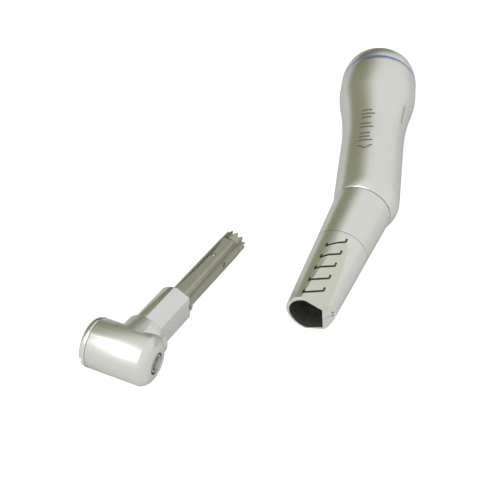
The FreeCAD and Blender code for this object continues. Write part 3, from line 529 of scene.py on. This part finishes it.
@dataclass
class Shank:
    """The bent grip with its nose, release ring and rear drive."""

    outside: dict[str, Finish] = field(default_factory=lambda: {
        "handle_sleeve": SATIN, "rear_collar": SATIN, "release_ring": SATIN, "nose_sleeve": SATIN,
        "ratio_ring": BLUE})
    inside: dict[str, Finish] = field(default_factory=lambda: {
        "inner_core": CORE, "coupling_tube": CORE, "catch_ring": DRIVE, "release_spring": DRIVE,
        "latch_pin": DRIVE, "light_rod": LIGHT, "spray_air_tube": CORE, "spray_water_tube": CORE,
        "rear_drive_shaft": DRIVE, "drive_dog": DRIVE, "bend_gear": DRIVE})
    edge: float = 0.03
    cheeks: NoseCheeks = NoseCheeks()
    marks: tuple[EtchedMark, ...] = (
        EtchedMark(),
        EtchedMark(turn=-30.0, start=24.3, length=6.4, height=0.9, width=0.2, chevron=False,
                   bars=(0.0, 0.12, 0.2, 0.32, 0.4, 0.52, 0.68, 0.76, 0.9),
                   name="etched_number"))

    def build(self, wardrobe: Wardrobe, axes: Axes, nose: Axes) -> None:
        """Dresses the shank's nodes and adds the etched marks.

        Args:
            wardrobe: The shared materials.
            axes: The grip's axes.
            nose: The nose's axes.
        """
        for name, finish in {**self.outside, **self.inside}.items():
            piece = frame["nodes"][name]
            wardrobe.dress(piece, finish, nose if name in ("nose_sleeve", "release_ring") else axes)
            if name == "handle_sleeve":
                soften_edges(piece, self.edge)
            LOG.info("%s: %s", name, finish.name)
        for name in ("drive_front_bearing", "drive_back_bearing"):
            for part in ("outer_race", "inner_race", "balls"):
                wardrobe.dress(frame["nodes"]["%s_%s" % (name, part)], BEARING, axes)
        nose_piece = frame["nodes"]["nose_sleeve"]
        # The nose's grooves and cheek flats get painted shade.
        counts = self.cheeks.apply(
            nose_piece, nose, wardrobe.material(GROOVE_PAINTED_SHADE, nose), wardrobe.material(CHEEK_PAINTED_SHADE, nose))
        LOG.info("nose: %d groove faces and %d cheek faces", *counts)
        for design in self.marks:
            mark = design.build(axes)
            wardrobe.dress(mark, ETCH, axes)
            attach(mark, "shank")
            LOG.info("%s: %s", design.name, ETCH.name)


# ------------------------------------------------------------------ the head
@dataclass
class Head:
    """The push-button head on its drive tube."""

    barrel: dict[str, Finish] = field(default_factory=lambda: {
        "head_housing": SATIN_HEAD, "cap_ring": POLISHED, "push_button": POLISHED, "spindle": DRIVE,
        "spindle_gear": DRIVE, "chuck_claws": DARK, "chuck_plunger": DARK, "spring_washer": BEARING,
        "button_spring": DRIVE, "chuck_spring": DRIVE})
    neck: dict[str, Finish] = field(default_factory=lambda: {
        "neck_sleeve": MILLED, "shaft_tube": TUBE, "locating_ball": TUBE, "crown_gear": TUBE,
        "shaft_front_bush": BUSH, "shaft_back_bush": BUSH, "drive_shaft": DRIVE,
        "drive_pinion": DRIVE})
    edge: dict[str, float] = field(default_factory=lambda: {
        "head_housing": 0.05, "neck_sleeve": 0.03, "shaft_tube": 0.06, "cap_ring": 0.05,
        "spindle": 0.04})

    def build(self, wardrobe: Wardrobe, barrel: Axes, neck: Axes) -> None:
        """Dresses the head's nodes.

        Args:
            wardrobe: The shared materials.
            barrel: The barrel's axes.
            neck: The neck's axes.
        """
        for finishes, axes in ((self.barrel, barrel), (self.neck, neck)):
            for name, finish in finishes.items():
                piece = frame["nodes"][name]
                wardrobe.dress(piece, finish, axes)
                if name in self.edge:
                    soften_edges(piece, self.edge[name])
                LOG.info("%s: %s", name, finish.name)
        for name in ("pinion_bearing", "bur_bearing", "cap_bearing"):
            for part in ("outer_race", "inner_race", "balls"):
                wardrobe.dress(frame["nodes"]["%s_%s" % (name, part)], BEARING, neck)


# ------------------------------------------------------------------ the table and the light
@dataclass(frozen=True)
class DimSide:
    """A dim part of the room: where it lies (right, away, up), its tone and how far it spreads."""

    towards: tuple[float, float, float]
    tone: tuple[float, float, float]
    outer: float
    inner: float


@dataclass
class Studio:
    """A pale table, a bright room with two dim sides, a camera over the table's near edge.

    Turns are in degrees, the camera's distance and lens in millimetres, the table in metres.
    """

    heading: float = 24.4
    elevation: float = 43.5
    roll: float = -0.52
    distance: float = 208.9
    lens: float = 65.25
    aim: tuple[float, float] = (-27.03, -8.07)
    room: tuple[float, float, float] = (1.0, 1.0, 0.99)
    room_strength: float = 0.95
    dim_sides: tuple[DimSide, ...] = (
        DimSide((-0.58, 0.74, 0.34), (0.34, 0.34, 0.22), 0.66, 0.97),
        DimSide((0.02, 0.99, 0.0), (0.14, 0.14, 0.07), 0.86, 0.96))
    table_tone: float = 0.45
    glow_seen: float = 0.85
    glow_mirrored: float = 0.34
    table_size: float = 3.0
    table_rough: float = 0.9
    table_shine: float = 0.1
    sensor: float = 36
    nearest: float = 0.005
    lamp_place: tuple[float, float, float] = (-0.33, -0.20, 0.46)
    lamp_size: float = 0.42
    lamp_power: float = 1.4

    def axis_away(self) -> Vector:
        """The level direction that the camera looks along."""
        turn = math.radians(self.heading)
        return Vector((-math.sin(turn), math.cos(turn), 0))

    def axis_right(self) -> Vector:
        """The level direction to the picture's right."""
        turn = math.radians(self.heading)
        return Vector((math.cos(turn), math.sin(turn), 0))

    def camera(self, bend: Vector) -> None:
        """Sets the camera from the bend's place on the table.

        Args:
            bend: The point where the grip's and the nose's axes cross.
        """
        right, away, up = self.axis_right(), self.axis_away(), Vector((0, 0, 1))
        rise, lean = math.radians(self.elevation), math.radians(self.roll)
        ahead = away * math.cos(rise) - up * math.sin(rise)
        target = Vector((bend.x, bend.y, 0)) + (right * self.aim[0] + away * self.aim[1]) * MM
        above = right.cross(ahead)
        side = right * math.cos(lean) + above * math.sin(lean)
        top = above * math.cos(lean) - right * math.sin(lean)
        data = bpy.data.cameras.new("camera")
        data.lens = self.lens
        data.sensor_width = self.sensor
        data.clip_start = self.nearest
        camera = bpy.data.objects.new("camera", data)
        bpy.context.scene.collection.objects.link(camera)
        turn = Matrix((side, top, -ahead)).transposed()
        camera.matrix_world = Matrix.Translation(target - ahead * self.distance * MM) @ turn.to_4x4()
        bpy.context.scene.camera = camera

    def table(self) -> None:
        """Lays the pale table: it glows to the eye, and is dimmer where the metal mirrors it."""
        bpy.ops.mesh.primitive_plane_add(size=self.table_size, location=(0, 0, 0))
        top = bpy.context.object
        top.name = "table"
        paint = bpy.data.materials.new("table_white")
        paint.use_nodes = True
        shader = paint.node_tree.nodes["Principled BSDF"]
        shader.inputs["Base Color"].default_value = (self.table_tone,) * 3 + (1,)
        shader.inputs["Emission Color"].default_value = (1, 1, 1, 1)
        path = paint.node_tree.nodes.new("ShaderNodeLightPath")
        glow = paint.node_tree.nodes.new("ShaderNodeMapRange")
        glow.inputs["To Min"].default_value = self.glow_mirrored
        glow.inputs["To Max"].default_value = self.glow_seen
        paint.node_tree.links.new(path.outputs["Is Camera Ray"], glow.inputs["Value"])
        paint.node_tree.links.new(glow.outputs["Result"], shader.inputs["Emission Strength"])
        shader.inputs["Roughness"].default_value = self.table_rough
        shader.inputs["Specular IOR Level"].default_value = self.table_shine
        top.data.materials.append(paint)

    def room_light(self) -> None:
        """A bright room with a few dim olive sides that the metal reflects as soft dark bands."""
        world = bpy.data.worlds.new("room")
        bpy.context.scene.world = world
        world.use_nodes = True
        tree = world.node_tree
        back = tree.nodes["Background"]
        back.inputs["Strength"].default_value = self.room_strength
        place = tree.nodes.new("ShaderNodeTexCoord")
        colour = tree.nodes.new("ShaderNodeRGB").outputs["Color"]
        colour.default_value = (*self.room, 1)
        for side in self.dim_sides:
            right, away, up = side.towards
            towards = self.axis_right() * right + self.axis_away() * away + Vector((0, 0, up))
            measure = tree.nodes.new("ShaderNodeVectorMath")
            measure.operation = "DOT_PRODUCT"
            measure.inputs[1].default_value = towards.normalized()
            tree.links.new(place.outputs["Generated"], measure.inputs[0])
            fade = tree.nodes.new("ShaderNodeMapRange")
            fade.interpolation_type = "SMOOTHSTEP"
            fade.inputs["From Min"].default_value = side.outer
            fade.inputs["From Max"].default_value = side.inner
            tree.links.new(measure.outputs["Value"], fade.inputs["Value"])
            mix = tree.nodes.new("ShaderNodeMix")
            mix.data_type = "RGBA"
            mix.inputs["B"].default_value = (*side.tone, 1)
            tree.links.new(colour, mix.inputs["A"])
            tree.links.new(fade.outputs["Result"], mix.inputs["Factor"])
            colour = mix.outputs["Result"]
        tree.links.new(colour, back.inputs["Color"])

    def lamp(self, name: str, place: Vector, size: float, power: float) -> None:
        """Hangs a square soft light that looks at the middle of the table.

        Args:
            name: The lamp's name.
            place: Where it hangs, in metres.
            size: Its side in metres.
            power: Its power in watts.
        """
        data = bpy.data.lights.new(name, "AREA")
        data.size = size
        data.energy = power
        lamp = bpy.data.objects.new(name, data)
        bpy.context.scene.collection.objects.link(lamp)
        lamp.location = place
        lamp.rotation_euler = (-place).to_track_quat("-Z", "Y").to_euler()

    def build(self, bend: Vector) -> None:
        """Sets up table, light and camera.

        Args:
            bend: The point where the grip's and the nose's axes cross.
        """
        self.camera(bend)
        self.table()
        self.room_light()
        right, away, up = self.lamp_place
        place = Vector((0, 0, 1)) * up + self.axis_right() * right + self.axis_away() * away
        self.lamp("top_soft", place, self.lamp_size, self.lamp_power)
        bpy.context.scene.view_settings.view_transform = "Standard"


def main() -> None:
    """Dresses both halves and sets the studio."""
    logging.basicConfig(level=logging.INFO, format="%(name)s %(message)s")
    release = Vector(joint("release_turn")["axis"])
    spin = Vector(joint("rear_drive_spin")["axis"])
    bur_side = -(release + spin * -release.dot(spin))
    grip = axes_from("rear_drive_spin", BEND_TO_DRIVE * MM, bur_side)
    nose = axes_from("release_turn", BEND_TO_RING * MM, bur_side)
    neck = axes_from("head_drive_spin", 0.0, Vector(joint("spindle_spin")["axis"]))
    barrel = axes_from("spindle_spin", 0.0, -neck.z)
    wardrobe = Wardrobe()
    Shank().build(wardrobe, grip, nose)
    Head().build(wardrobe, barrel, neck)
    Studio().build(nose.origin)


if __name__ == "__main__":
    main()
